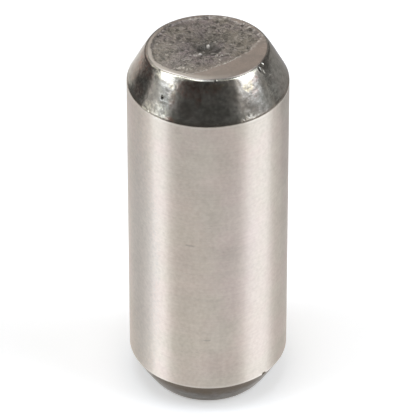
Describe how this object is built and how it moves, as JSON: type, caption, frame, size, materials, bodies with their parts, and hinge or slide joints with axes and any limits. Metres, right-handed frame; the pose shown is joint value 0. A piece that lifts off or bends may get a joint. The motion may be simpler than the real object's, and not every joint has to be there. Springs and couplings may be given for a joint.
{
  "type": "dowel pin",
  "caption": "Short hardened steel dowel pin with a ground body and chamfered ends, pressed into a reamed hole to locate mating parts.",
  "frame": {"origin": "middle of the square end face, which the pin stands on", "axes": "+Z along the pin's axis, from the square end to the sheared end; +X to the right as seen in the picture"},
  "size_m": [0.008, 0.008, 0.0202],
  "materials": {
    "steel": "ground bright on the body, dark from heat treatment on the chamfers, torn and dull on the sheared face"
  },
  "bodies": {
    "root": {"pin": "steel"}
  },
  "joints": []
}
